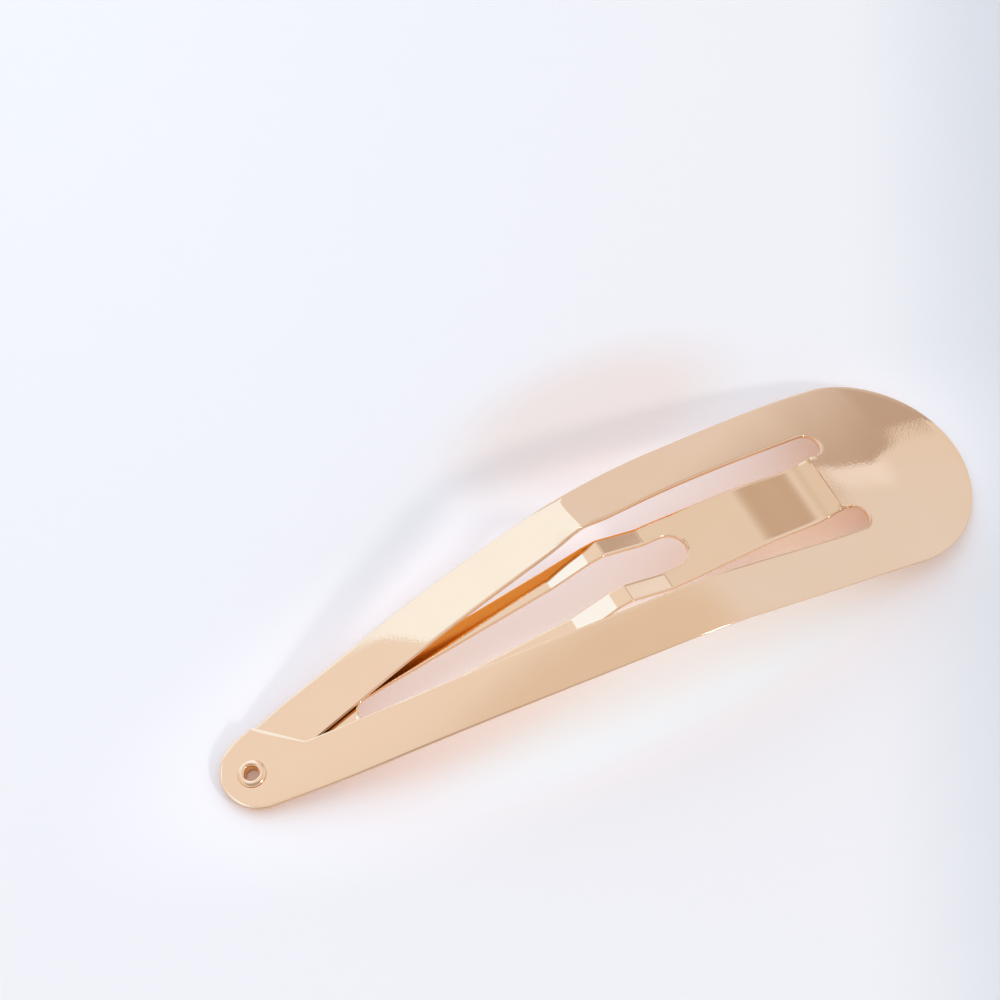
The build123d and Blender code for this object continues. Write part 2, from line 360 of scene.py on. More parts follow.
@dataclass(frozen=True)
class PaperFloor:
    """Matt studio paper, nearly white with a cool cast, with painted light and shade round the clip."""

    name: str = "studio_paper"
    base: str = "#F4F0EB"
    roughness: float = 0.8
    # painted shade: the paper darkens towards the right, where less light falls on it
    dim: str = "#DADBDA"            # towards the photograph's right side
    dim_start: float = 26.0         # millimetres to the right of the clip's middle
    dim_stop: float = 52.0
    bounce: str = "#FFF0FB"         # painted light: the paper glows under the clip, for the light that reaches it there from all round
    bounce_power: float = 0.168
    bounce_oval: Wash = Wash((0.0, 0.0), (50.0, 17.0))
    fibre_mm: float = 2.0
    fibre_depth_mm: float = 0.02
    fibre_strength: float = 0.2
    washes: tuple[Wash, ...] = (
        Wash((-11.0, -21.5), (17.0, 8.0), "#F2E3D8"),    # warm shadow behind the clip
        Wash((-25.5, 1.8), (7.0, 2.2), "#FFF9E7"),       # painted golden light under the left slot's wide end
        Wash((-3.0, 11.0), (28.0, 5.0), "#F0F9F7"),      # cooler in front of the left arm
    )

    def build(self, to_dim: Vector) -> bpy.types.Material:
        """Build the material from nodes on Object coordinates.

        Args:
            to_dim: The way in which the paper gets dimmer, in the floor's axes.

        Returns:
            The paper's material.
        """
        material, tree, coords = start_material(self.name)
        place = coords.outputs["Object"]
        # painted shade: darker towards the right
        right = add_node(tree, *DOT_PRODUCT, i0=place, i1=to_dim)
        far = add_node(tree, *SOFT_RAMP, Value=right.outputs["Value"], From_Min=self.dim_start * MM,
                       From_Max=self.dim_stop * MM)
        tone = add_node(tree, *COLOUR_MIX, i0=far.outputs["Result"], i6=to_linear(self.base),
                        i7=to_linear(self.dim))
        for wash in self.washes:
            tone = add_node(tree, *COLOUR_MIX, i0=wash.mask(tree, place), i6=tone.outputs[2],
                            i7=to_linear(wash.tint))
        # painted light: the paper glows in an oval under the clip
        shine = add_node(tree, *PRODUCT, i0=self.bounce_oval.mask(tree, place), i1=self.bounce_power)
        fibre = add_node(tree, "ShaderNodeTexNoise", Vector=place, Scale=1 / (self.fibre_mm * MM), Detail=3.0)
        bump = add_node(tree, "ShaderNodeBump", Height=fibre.outputs["Fac"], Strength=self.fibre_strength,
                        Distance=self.fibre_depth_mm * MM)
        shader = add_node(tree, "ShaderNodeBsdfPrincipled", Base_Color=tone.outputs[2],
                          Roughness=self.roughness, Normal=bump.outputs["Normal"],
                          Emission_Color=to_linear(self.bounce), Emission_Strength=shine.outputs["Value"])
        add_node(tree, "ShaderNodeOutputMaterial", Surface=shader.outputs["BSDF"])
        return material


def start_piece() -> None:
    """Leave nothing selected and no edit mode, so that an operator acts only on what is added next."""
    if bpy.context.object and bpy.context.object.mode != "OBJECT":
        bpy.ops.object.mode_set(mode="OBJECT")
    bpy.ops.object.select_all(action="DESELECT")


def pick_piece(piece: Piece) -> None:
    """Select one piece alone and make it the active one."""
    start_piece()
    piece.select_set(True)
    bpy.context.view_layer.objects.active = piece


def open_piece(piece: Piece, kind: str) -> None:
    """Open a piece in edit mode with nothing of it selected.

    Args:
        piece: Piece to edit.
        kind: What is selected in it: VERT, EDGE or FACE.
    """
    pick_piece(piece)
    bpy.ops.object.mode_set(mode="EDIT")
    bpy.ops.mesh.select_mode(type=kind)
    bpy.ops.mesh.select_all(action="DESELECT")


def add_modifier(piece: Piece, kind: str, **settings: object) -> None:
    """Add a modifier and apply it.

    Args:
        piece: Piece that gets it.
        kind: Blender's name of the modifier type.
        settings: Its settings by name.
    """
    modifier = piece.modifiers.new(kind.lower(), kind)
    for name, value in settings.items():
        setattr(modifier, name, value)
    bpy.context.view_layer.objects.active = piece
    bpy.ops.object.modifier_apply(modifier=modifier.name)


def map_grid(name: str, rows: int, columns: int, place: Callable[[int, int], Point]) -> Piece:
    """Add a flat grid and lay each of its points where a rule says.

    Args:
        name: Name of the piece.
        rows: Number of cells along the piece.
        columns: Number of cells across it.
        place: Gives a point from its row and column.

    Returns:
        The grid's object.
    """
    start_piece()
    bpy.ops.mesh.primitive_grid_add(x_subdivisions=rows, y_subdivisions=columns, size=1)
    piece = bpy.context.object
    piece.name = name
    piece.data.name = name
    for vertex in piece.data.vertices:
        row = round((vertex.co.x + 0.5) * rows)
        column = round((vertex.co.y + 0.5) * columns)
        vertex.co = place(row, column)
    return piece


@dataclass
class BentSheet:
    """Sizes of the stamped sheet and the rule of its bent form."""

    sheet: float = 0.45
    lap_gap: float = 0.05
    head_radius: float = 11.9
    end_radius: float = 4.25
    side_radius: float = 420.0      # of the shallow arcs of the two long sides
    arm_width: float = 5.35
    slot_inset: float = 16.9        # from the head's rim to where the slots' round ends begin
    slot_radius: float = 1.5
    step_flat: float = 0.75         # the sheet runs this far past its root line, to the tongue's crease
    edge_round: float = 0.07
    edge_steps: int = 2
    lap_reach: float = 5.6          # from the narrow end back to the corner of the upper arm end
    vee_reach: float = 0.8          # the upper arm end runs this far over the middle line
    crest_height: float = 9.85
    end_rise: float = 0.15
    head_crown: float = 58.0        # radius of the bend across the head
    arm_crown: float = 34.5         # and across the arms
    crown_inset: float = 15.0
    crown_ramp: float = 18.0
    lap_start: float = 21.0         # how far before the arms meet they begin to part in height
    lap_full: float = 8.0           # and where they have parted
    bow_inset: float = 47.0         # the right arm bows up and the left one down round this station
    bow_half: float = 16.0
    bow_rise: float = 0.95
    twist_inset: float = 46.0       # the right arm is kinked at this station
    twist_half: float = 2.6
    twist_slope: float = 0.33
    twist_fade: float = 8.0         # the kink fades out over this run up to the slots' round ends
    # Columns: station as a share of the length, height as a share of the crest's.
    arch: list[Spot] = field(default_factory=lambda: [
        (0.000, -0.012), (0.039, 0.113), (0.078, 0.240), (0.117, 0.360), (0.156, 0.462), (0.189, 0.543),
        (0.233, 0.640), (0.278, 0.745), (0.322, 0.845), (0.367, 0.933), (0.406, 0.980), (0.444, 1.000),
        (0.478, 0.997), (0.511, 0.982), (0.567, 0.928), (0.611, 0.862), (0.667, 0.765), (0.722, 0.655),
        (0.789, 0.495), (0.856, 0.325), (0.911, 0.202),
    ])

    def __post_init__(self) -> None:
        """Work out the places that follow from the sizes and from the frame."""
        self.head_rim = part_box("head_plate")[0].x / MM
        self.narrow_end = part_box("left_arm")[1].x / MM
        self.length = self.narrow_end - self.head_rim
        self.head_centre = self.head_rim + self.head_radius
        self.end_centre = self.narrow_end - self.end_radius
        self.root_x = self.head_rim + self.slot_inset
        self.crease_x = self.root_x + self.step_flat
        span = self.end_centre - self.head_centre
        to_head = self.side_radius - self.head_radius
        to_end = self.side_radius - self.end_radius
        along = (span ** 2 + to_head ** 2 - to_end ** 2) / (2 * span)
        self.side_x = self.head_centre + along
        self.side_y = -math.sqrt(to_head ** 2 - along ** 2)
        inner = self.side_radius - self.arm_width
        self.vee_x = self.side_x + math.sqrt(inner ** 2 - self.side_y ** 2)
        self.end_tangent = self.tangent_x(self.end_centre, self.end_radius)
        self.end_turn = math.acos((self.end_tangent - self.end_centre) / self.end_radius)
        self.head_tangent = self.tangent_x(self.head_centre, self.head_radius)
        self.head_turn = math.acos((self.head_centre - self.head_tangent) / self.head_radius)
        self.lap_x = min(self.narrow_end - self.lap_reach, self.end_tangent)
        rows = [(self.head_rim + s * self.length, h * self.crest_height) for s, h in self.arch]
        self.line = CurveLine([*rows, (self.narrow_end, self.end_rise)])
        fall = self.line.at(self.vee_x) - self.line.at(self.narrow_end)
        stretch = math.hypot(1, fall / (self.narrow_end - self.vee_x))
        self.lap_height = stretch * (self.sheet + self.lap_gap) / 2
        axis_height = frame["joints"][0]["pos_m"][2] / MM
        self.lift = 0.0             # for the call of height() that it is worked out from
        self.lift = axis_height - self.height(self.root_x, 0.0, Side.HEAD)

    def tangent_x(self, centre: float, radius: float) -> float:
        """Station where the side arc leaves a round end."""
        reach = math.hypot(centre - self.side_x, self.side_y)
        return centre + radius * (centre - self.side_x) / reach

    def edge_y(self, x: float, inset: float = 0.0) -> float:
        """Half width of the outer edge at x, or of a line parallel to it."""
        return self.side_y + math.sqrt((self.side_radius - inset) ** 2 - (x - self.side_x) ** 2)

    def head_point(self, turn: float) -> Spot:
        """Point of the head's round rim, by its turn in radians from the clip's wide end."""
        return self.head_centre - self.head_radius * math.cos(turn), self.head_radius * math.sin(turn)

    def end_point(self, turn: float) -> Spot:
        """Point of the narrow end's round rim, by its turn in radians from the very end."""
        return self.end_centre + self.end_radius * math.cos(turn), self.end_radius * math.sin(turn)

    def height(self, x: float, y: float, side: Side) -> float:
        """Work out the height of the top face over a point of the plan.

        Args:
            x: Station along the clip.
            y: Distance from the clip's middle line.
            side: Arm that the point belongs to.

        Returns:
            Height over the surface that the clip lies on.
        """
        share = smooth_step((x - self.head_rim - self.crown_inset) / self.crown_ramp)
        radius = self.head_crown + share * (self.arm_crown - self.head_crown)
        height = self.lift + self.line.at(x) + math.sqrt(radius ** 2 - y ** 2) - radius
        lap = smooth_step((x - self.vee_x + self.lap_start) / (self.lap_start - self.lap_full))
        height += side.value * self.lap_height * lap
        along = (x - self.head_rim - self.bow_inset) / self.bow_half
        if abs(along) < 1:
            height -= side.value * self.bow_rise / 2 * math.cos(along * math.pi / 2) ** 2
        if side is Side.RIGHT:
            off = (x - self.head_rim - self.twist_inset) / self.twist_half
            fade = (1 - lap) * smooth_step((x - self.root_x) / self.twist_fade)
            height += fade * self.twist_slope / (1 + off ** 2) * (self.edge_y(x) + y)
        return height


@dataclass
class SheetBody:
    """The head and both arms: one stamped, bent and plated sheet, lapped at its narrow end."""

    form: BentSheet
    root_half: float = 3.47         # half width of the tongue at its crease
    columns: int = 18
    tab_rows: int = 8
    flank_rows: int = 3
    slot_rows: int = 28
    row_pitch: float = 0.5
    end_rows: int = 20
    last_turn: float = -10.0        # degrees round the narrow end to where the last row starts
    rim_share: float = 0.95         # share of the root's half width that its side line reaches at the rim
    tab_share: float = 0.9          # share of the way to that side line that the tab's rows take at the rim
    barrel_hole: float = 1.1
    tuck: float = 0.35              # the lower arm end is this much smaller than the upper one

    def half_rows(self) -> list[tuple[Spot, Spot, float]]:
        """Lay out the rows from the middle of the head to the left arm's tip.

        Returns:
            Each row's outer and inner end, and its share of the way through the narrow end.
        """
        form = self.form
        slot_mid = form.edge_y(form.root_x, form.arm_width) - form.slot_radius
        root_low = slot_mid - form.slot_radius
        start = math.asin(self.rim_share * root_low / form.head_radius)
        arc = form.head_radius * (form.head_turn - start)
        total = arc + form.root_x - form.head_tangent
        rows = []
        for i in range(self.tab_rows):
            share = i / self.tab_rows
            outer = form.head_point(share * start * self.tab_share)
            rows.append((outer, (form.crease_x, share * self.root_half), 0.0))
        for i in range(self.flank_rows):
            share = i / self.flank_rows
            outer = form.head_point(start * (self.tab_share + (1 - self.tab_share) * share))
            inner = (form.crease_x - share * form.step_flat,
                     self.root_half + share * (root_low - self.root_half))
            rows.append((outer, inner, 0.0))
        for i in range(self.slot_rows):
            share = i / self.slot_rows
            turn = math.pi * share
            reach = share * total
            x = form.head_tangent + reach - arc
            outer = form.head_point(start + reach / form.head_radius) if reach < arc else (x, form.edge_y(x))
            inner = (form.root_x - form.slot_radius * math.sin(turn),
                     slot_mid - form.slot_radius * math.cos(turn))
            rows.append((outer, inner, 0.0))
        tip = (form.vee_x + form.vee_reach, form.edge_y(form.vee_x + form.vee_reach, form.arm_width))
        count = round((tip[0] - form.root_x) / self.row_pitch)
        for i in range(count):
            x = form.root_x + i / count * (tip[0] - form.root_x)
            rows.append(((x, form.edge_y(x)), (x, form.edge_y(x, form.arm_width)), 0.0))
        corner = (form.lap_x, -form.edge_y(form.lap_x))
        side_run = form.end_tangent - tip[0]
        turn_run = form.end_radius * (form.end_turn - math.radians(self.last_turn))
        for i in range(self.end_rows + 1):
            share = i / self.end_rows
            reach = share * (side_run + turn_run)
            x = tip[0] + reach
            if reach < side_run:
                outer = (x, form.edge_y(x))
            else:
                outer = form.end_point(form.end_turn - (reach - side_run) / form.end_radius)
            inner = tuple(a + share * (b - a) for a, b in zip(tip, corner))
            rows.append((outer, inner, share))
        return rows

    def end_bulge(self, share: float) -> Spot:
        """Work out how far the last row, which follows the round end, stands out from its chord.

        Args:
            share: Place along the row, from its outer to its inner end.

        Returns:
            How far it stands out there, along and across the clip.
        """
        form = self.form
        first = math.radians(self.last_turn)
        turn_run = form.end_radius * (first + form.end_turn)
        reach = share * (turn_run + form.end_tangent - form.lap_x)
        if reach < turn_run:
            point = form.end_point(first - reach / form.end_radius)
        else:
            x = form.end_tangent - (reach - turn_run)
            point = (x, -form.edge_y(x))
        start = form.end_point(first)
        stop = (form.lap_x, -form.edge_y(form.lap_x))
        chord = [a + share * (b - a) for a, b in zip(start, stop)]
        return point[0] - chord[0], point[1] - chord[1]

    def build(self) -> Piece:
        """Model the sheet from a grid whose rows run from the outer edge to the slots.

        Returns:
            The sheet, in millimetres.
        """
        form = self.form
        half = self.half_rows()
        last = len(half) - 1
        weights = [end_share ** 2 for _, _, end_share in half]

        def place(row: int, column: int) -> Point:
            """Give a point of the top face: rows run from the left tip round the head to the right tip.

            Args:
                row: Number of the row.
                column: Number of the column, from the outer edge inwards.

            Returns:
                The point.
            """
            step = abs(last - row)
            turn = 1 if row <= last else -1
            outer, inner, end_share = half[step]
            across = column / self.columns
            bulge = self.end_bulge(across)
            x = outer[0] + across * (inner[0] - outer[0]) + weights[step] * bulge[0]
            y = turn * (outer[1] + across * (inner[1] - outer[1]) + weights[step] * bulge[1])
            if turn < 0:
                x -= self.tuck * end_share
                y *= 1 - self.tuck * end_share / form.end_radius
            in_head = x < form.root_x or step < self.tab_rows + self.flank_rows
            return x, y, form.height(x, y, Side.HEAD if in_head else Side(turn))

        piece = map_grid("sheet_body", 2 * last, self.columns, place)
        add_modifier(piece, "SOLIDIFY", thickness=form.sheet, offset=-1.0, use_even_offset=True)
        round_edges(piece, form)
        pierce(piece, eyelet_place(), self.barrel_hole)
        return piece


def eyelet_place() -> Matrix:
    """Find the place and tilt of the eyelet.

    Returns:
        The frame of the record's mount, in millimetres.
    """
    mount = next(m for m in frame["record"]["mounts"] if m["name"] == "eyelet_hole")
    turn = Vector((0, 0, 1)).rotation_difference(Vector(mount["axis"])).to_matrix().to_4x4()
    return Matrix.Translation(Vector(mount["pos_m"]) / MM) @ turn


def pierce(piece: Piece, place: Matrix, radius: float, sides: int = 48, depth: float = 6.0) -> None:
    """Cut a round hole through both lapped ends.

    Args:
        piece: Sheet that gets the hole.
        place: Centre and tilt of the hole.
        radius: The hole's radius.
        sides: Number of faces round it.
        depth: Length of the punch, well over what it goes through.
    """
    start_piece()
    bpy.ops.mesh.primitive_cylinder_add(vertices=sides, radius=radius, depth=depth)
    punch = bpy.context.object
    punch.data.transform(place)
    add_modifier(piece, "BOOLEAN", operation="DIFFERENCE", object=punch, solver="EXACT")
    bpy.data.objects.remove(punch)


def round_edges(piece: Piece, form: BentSheet) -> None:
    """Break the sharp edges of a stamped piece, apart from the crease where two pieces meet.

    Args:
        piece: Piece with square edges.
        form: The sheet's sizes.
    """
    open_piece(piece, "EDGE")
    bpy.ops.mesh.edges_select_sharp(sharpness=math.radians(BREAK_TURN))
    bpy.ops.object.mode_set(mode="OBJECT")
    mesh = piece.data
    weights = mesh.attributes.new("bevel_weight_edge", "FLOAT", "EDGE")
    for edge in mesh.edges:
        ends = [mesh.vertices[i].co for i in edge.vertices]
        in_seam = all(abs(end.x - form.crease_x) < form.sheet and abs(end.y) < form.arm_width for end in ends)
        weights.data[edge.index].value = float(edge.select and not in_seam)
    add_modifier(piece, "BEVEL", width=form.edge_round, segments=form.edge_steps, limit_method="WEIGHT",
                 harden_normals=False, offset_type="OFFSET", use_clamp_overlap=False)
    add_modifier(piece, "WEIGHTED_NORMAL", weight=100, keep_sharp=True)


@dataclass
class Tongue:
    """The inner strip: step, panel, inner slot, and two tines with a hump each."""

    form: BentSheet
    step_run: float = 1.5
    step_set: float = 0.13          # the tongue starts this far under the head's top face
    step_drop: float = 0.5
    step_bend: float = 0.5          # half length of the rounding at the step's foot
    panel_rise: float = 1.95
    hump_inset: float = 37.4
    hump_run: float = 13.4
    hump_rise: float = 1.75
    mid_half: float = 4.0           # half widths of the strip: at the humps' start and ridge,
    foot_half: float = 4.2          # at their foot
    end_half: float = 2.9           # and at its closed end
    end_inset: float = 8.0
    end_round: float = 1.6
    end_bend: float = 4.0           # half length of the rounding where the strip runs out under the arms
    slot_half: float = 1.95
    slot_end_half: float = 1.3
    slot_reach: float = 16.9
    clearance: float = 0.35
    columns: int = 8
    row_pitch: float = 0.5
    short_crease: float = 1.0       # a crease of less than this half length gets rows of its own
    row_gap: float = 0.004          # rows nearer to each other than this are one
    weld: float = 1e-4              # and so are points nearer than this
    round_rows: int = 14
    # Columns: place on the panel and on the humps as a share of each, height as a share of its rise, and half
    # length of the rounding at that crease.
    panel: tuple[Row, ...] = ((0.10, 0.04, 1.4), (0.37, 0.64, 1.9), (0.88, 0.92, 1.0))
    humps: tuple[Row, ...] = ((0.15, 0.00, 0.12), (0.53, 1.00, 0.12), (0.66, 0.86, 0.12),
                                (1.00, -0.17, 0.15))
    # Half lengths of the roundings of the strip's side line and of its slot's, and where the rows lie round a
    # short crease, in its half lengths.
    side_bends: tuple[float, ...] = (1.0, 0.5, 1.0)
    slot_bends: tuple[float, ...] = (0.5,)
    crease_rows: tuple[float, ...] = (-2.0, -1.0, -0.5, 0.0, 0.5, 1.0, 2.0)

    def __post_init__(self) -> None:
        """Work out the strip's stations, profile and half widths."""
        form = self.form
        self.hump_x = form.head_rim + self.hump_inset
        self.meet_x = form.narrow_end - self.slot_reach
        self.end_x = form.narrow_end - self.end_inset
        root_y = form.edge_y(form.root_x, form.arm_width) - 2 * form.slot_radius
        foot_x = form.crease_x + self.step_run
        crease_z = form.height(form.crease_x, 0.0, Side.HEAD) - self.step_set
        foot_z = crease_z - self.step_drop
        near, _, ridge, foot = [self.hump_x + place * self.hump_run for place, _, _ in self.humps]
        points = [(form.crease_x, crease_z), (foot_x, foot_z)]
        halves = [self.step_bend]
        for place, rise, half in self.panel:
            points.append((foot_x + place * (near - foot_x), foot_z + rise * self.panel_rise))
            halves.append(half)
        for place, rise, half in self.humps:
            points.append((self.hump_x + place * self.hump_run,
                           foot_z + self.panel_rise + rise * self.hump_rise))
            halves.append(half)
        under = form.sheet + form.lap_height + self.clearance
        for x in (self.meet_x, self.end_x):
            points.append((x, form.height(x, self.end_half, Side.HEAD) - under))
        halves.append(self.end_bend)
        self.profile = CreaseLine(points, halves)
        self.outline = CreaseLine([(form.root_x, root_y), (self.hump_x, self.mid_half),
                                   (ridge, self.mid_half), (foot, self.foot_half),
                                   (self.end_x, self.end_half)], self.side_bends)
        self.slot_line = CreaseLine([(self.hump_x, self.slot_half), (foot, self.slot_half),
                                     (self.meet_x, self.slot_end_half)], self.slot_bends)
        slot_steps = [math.pi / 2 * i / self.round_rows for i in range(self.round_rows + 1)]
        stations = [self.hump_x - self.slot_half * math.cos(t) for t in slot_steps]
        stations += [self.meet_x + self.slot_end_half * math.sin(t) for t in slot_steps]
        stations += [self.end_x - self.end_round * (1 - math.sin(t)) for t in slot_steps]
        stations += [form.crease_x]
        for (x, _), half in zip(points[1:-1], halves):
            if half < self.short_crease:
                stations += [x + half * k for k in self.crease_rows]
        fixed = sorted(stations)
        count = round((self.end_x - form.crease_x) / self.row_pitch)
        for i in range(1, count):
            x = form.crease_x + i / count * (self.end_x - form.crease_x)
            if min(abs(x - place) for place in fixed) > self.row_pitch / 2:
                stations.append(x)
        self.stations = []
        for x in sorted(stations):
            if not self.stations or x - self.stations[-1] > self.row_gap:
                self.stations.append(x)

    def outer_half(self, x: float) -> float:
        """Work out the half width of the strip, with its rounded end.

        Args:
            x: Station along the clip.

        Returns:
            Distance from the middle line to the strip's side.
        """
        past = x - (self.end_x - self.end_round)
        half = self.outline.at(x)
        if past > 0:
            half -= self.end_round - math.sqrt(max(self.end_round ** 2 - past ** 2, 0.0))
        return half

    def inner_half(self, x: float) -> float:
        """Work out the half width of the inner slot.

        Args:
            x: Station along the clip.

        Returns:
            Distance from the middle line to the slot's side, and 0 where there is no slot.
        """
        if x < self.hump_x:
            return math.sqrt(max(self.slot_half ** 2 - (self.hump_x - x) ** 2, 0.0))
        if x > self.meet_x:
            return math.sqrt(max(self.slot_end_half ** 2 - (x - self.meet_x) ** 2, 0.0))
        return self.slot_line.at(x)

    def build(self) -> Piece:
        """Model the strip from a grid that is parted along the inner slot.

        Returns:
            The strip, in millimetres.
        """
        across = 2 * self.columns + 1

        def place(row: int, column: int) -> Point:
            """Give a point of the top face.

            Args:
                row: Number of the row, from the root on.
                column: Number of the column, from right to left.

            Returns:
                The point.
            """
            x = self.stations[row]
            side = 1 if column > self.columns else -1
            share = (column - self.columns - 1 if side == 1 else self.columns - column) / self.columns
            low = self.inner_half(x)
            return x, side * (low + share * (self.outer_half(x) - low)), self.profile.at(x)

        piece = map_grid("tongue_strip", len(self.stations) - 1, across, place)
        open_piece(piece, "FACE")
        bpy.ops.object.mode_set(mode="OBJECT")
        for face in piece.data.polygons:
            points = [piece.data.vertices[i].co for i in face.vertices]
            spans_middle = min(p.y for p in points) <= 0 <= max(p.y for p in points)
            on_rim = all(abs(abs(p.y) - self.inner_half(p.x)) < self.weld for p in points)
            face.select = spans_middle and on_rim
        bpy.ops.object.mode_set(mode="EDIT")
        bpy.ops.mesh.delete(type="FACE")
        bpy.ops.mesh.select_all(action="SELECT")
        bpy.ops.mesh.remove_doubles(threshold=self.weld)
        bpy.ops.object.mode_set(mode="OBJECT")
        add_modifier(piece, "SOLIDIFY", thickness=self.form.sheet, offset=-1.0, use_even_offset=True)
        round_edges(piece, self.form)
        return piece


@dataclass
class Eyelet:
    """The clinched ring: a short tube rolled out over the upper arm end and flattened under the lower."""

    form: BentSheet
    hole: float = 0.75
    barrel: float = 1.05
    flange: float = 1.5
    foot: float = 1.5
    flange_rise: float = 0.3
    foot_rise: float = 0.25
    seat_gap: float = 0.05
    hole_corner: float = 0.05       # broken edges of the foot, at the hole
    foot_corner: float = 0.06       # and at its rim
    steps: int = 72
    weld: float = 0.001             # points nearer than this are one
    # Columns: in from the flange's rim, up from its seat.
    rim_roll: tuple[Spot, ...] = ((0.04, 0.0), (0.0, 0.04), (0.03, 0.10), (0.12, 0.18))
    # Columns: in from the flange's rim, down from its crest.
    crest_roll: tuple[Spot, ...] = ((0.26, 0.05), (0.42, 0.0))
    # Columns: out from the hole's wall, down from the crest.
    hole_roll: tuple[Spot, ...] = ((0.26, 0.01), (0.13, 0.06), (0.04, 0.16), (0.0, 0.30))
    # Columns: waves round the clinched hole, their phase in radians, their depth as a share of the radius.
    waves: tuple[Row, ...] = ((3, 0.6, 0.02), (5, 2.0, 0.018))

    def section(self) -> list[Spot]:
        """Draw the closed outline of the tube's wall.

        Returns:
            Radius and height of its points, anticlockwise from the hole's foot.
        """
        top = self.form.lap_gap / 2 + self.form.sheet + self.seat_gap
        bottom = -top - self.foot ** 2 / (2 * self.form.arm_crown)
        foot = bottom - self.foot_rise
        crest = top + self.flange_rise
        return [
            (self.hole, foot + self.hole_corner), (self.hole + self.hole_corner, foot),
            (self.foot - self.foot_corner, foot), (self.foot, foot + self.foot_corner),
            (self.foot, bottom), (self.barrel, bottom), (self.barrel, top),
            *((self.flange - inward, top + up) for inward, up in self.rim_roll),
            *((self.flange - inward, crest - down) for inward, down in self.crest_roll),
            *((self.hole + outward, crest - down) for outward, down in self.hole_roll),
        ]

    def build(self) -> Piece:
        """Spin the wall's section round the hole and tilt the ring onto the lapped ends.

        Returns:
            The ring, in millimetres.
        """
        section = self.section()
        start_piece()
        bpy.ops.mesh.primitive_circle_add(vertices=len(section), radius=1)
        piece = bpy.context.object
        piece.name = "eyelet_ring"
        piece.data.name = "eyelet_ring"
        for vertex, (radius, height) in zip(piece.data.vertices, section):
            vertex.co = (radius, 0, height)
        open_piece(piece, "VERT")
        bpy.ops.mesh.select_all(action="SELECT")
        bpy.ops.mesh.spin(steps=self.steps, angle=2 * math.pi, center=(0, 0, 0), axis=(0, 0, 1))
        bpy.ops.mesh.select_all(action="SELECT")
        bpy.ops.mesh.remove_doubles(threshold=self.weld)
        bpy.ops.mesh.normals_make_consistent(inside=False)
        bpy.ops.object.mode_set(mode="OBJECT")
        for vertex in piece.data.vertices:
            turn = math.atan2(vertex.co.y, vertex.co.x)
            radius = math.hypot(vertex.co.x, vertex.co.y)
            near_hole = smooth_step((self.flange - radius) / (self.flange - self.hole))
            wave = sum(depth * math.sin(count * turn + phase) for count, phase, depth in self.waves)
            vertex.co.x *= 1 + near_hole * wave
            vertex.co.y *= 1 + near_hole * wave
        piece.data.transform(eyelet_place())
        return piece


def finish_piece(piece: Piece, finish: bpy.types.Material, slot: Slot) -> None:
    """Scale a piece to metres, smooth its faces and give it its finish.

    Args:
        piece: Modelled piece, in millimetres.
        finish: Its material.
        slot: The record's material slot; not used.
    """
    piece.data.transform(Matrix.Scale(MM, 4))
    pick_piece(piece)
    bpy.ops.object.shade_smooth_by_angle(angle=math.radians(SMOOTH_TURN))
    piece.data.materials.clear()
    piece.data.materials.append(finish)
    log.info("%s: %d faces", piece.name, len(piece.data.polygons))


@dataclass
class HairClip:
    """The whole clip, from its sheet, tongue and eyelet."""

    bend_start: float = -31.0       # the arms' own flex begins here
    bend_stop: float = -12.0        # and they move as one from here
    plating: PlatedSteel = PlatedSteel("plated_rose_gold_steel")
    strip_plating: PlatedSteel = FoldShadedSteel("plated_rose_gold_strip", peel_depth_mm=0.0002,
                                             grain_depth_mm=0.0006)
    # painted reflected light: the ring's upright and down-turned faces, the hole's wall among them, get the
    # deeper tone
    ring_plating: PlatedSteel = PlatedSteel("plated_clinched_eyelet", base="#F1CDA9", warm="#EDC49C",
                                            roughness=0.1, inner_start=0.3, inner_stop=0.0)

    def build(self) -> None:
        """Build the pieces in order, hide the parts that they replace, and hang the tongue and the eyelet on
        what they ride on.
        """
        form = BentSheet()
        sheet = SheetBody(form).build()
        finish_piece(sheet, self.plating.build(), Slot.SHEET)
        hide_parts("head_plate", "left_arm", "right_arm")
        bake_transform(sheet)
        tongue = Tongue(form).build()
        finish_piece(tongue, self.strip_plating.build(), Slot.TONGUE)
        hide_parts("tongue")
        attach(tongue, "root")
        ring = Eyelet(form).build()
        finish_piece(ring, self.ring_plating.build(), Slot.EYELET)
        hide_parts("eyelet")
        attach(ring, "bow")


def dome_way(right: float, away: float) -> Vector:
    """Work out the direction of a place on the dome over the clip.

    Args:
        right: Degrees off the zenith to the photograph's right.
        away: Degrees off the zenith away from the viewer.

    Returns:
        Unit direction in the photograph's axes.
    """
    off = math.radians(math.hypot(right, away))
    level = Vector((right, away, 0)).normalized() if off else Vector((0, 0, 0))
    return level * math.sin(off) + Vector((0, 0, math.cos(off)))


@dataclass(frozen=True)
class Glow:
    """Colour and strength of a stretch of the tent's wall."""

    tint: str
    gain: float

    def linear(self) -> Tint:
        """Linear colour, which may be over one."""
        return (*[channel * self.gain for channel in to_linear(self.tint)[:3]], 1.0)


@dataclass(frozen=True)
class Patch:
    """Round patch of the dome with a soft rim."""

    place: Spot
    inner: float
    outer: float

    def mask(self, tree: Tree, way: Socket) -> Socket:
        """Add the nodes that mark the patch.

        Args:
            tree: The surroundings' node tree.
            way: Direction in the photograph's axes.

        Returns:
            1 in the patch and 0 outside.
        """
        near = add_node(tree, *DOT_PRODUCT, i0=way, i1=dome_way(*self.place))
        ramp = add_node(tree, *SOFT_RAMP, Value=near.outputs["Value"],
                        From_Min=math.cos(math.radians(self.outer)),
                        From_Max=math.cos(math.radians(self.inner)))
        return ramp.outputs["Result"]


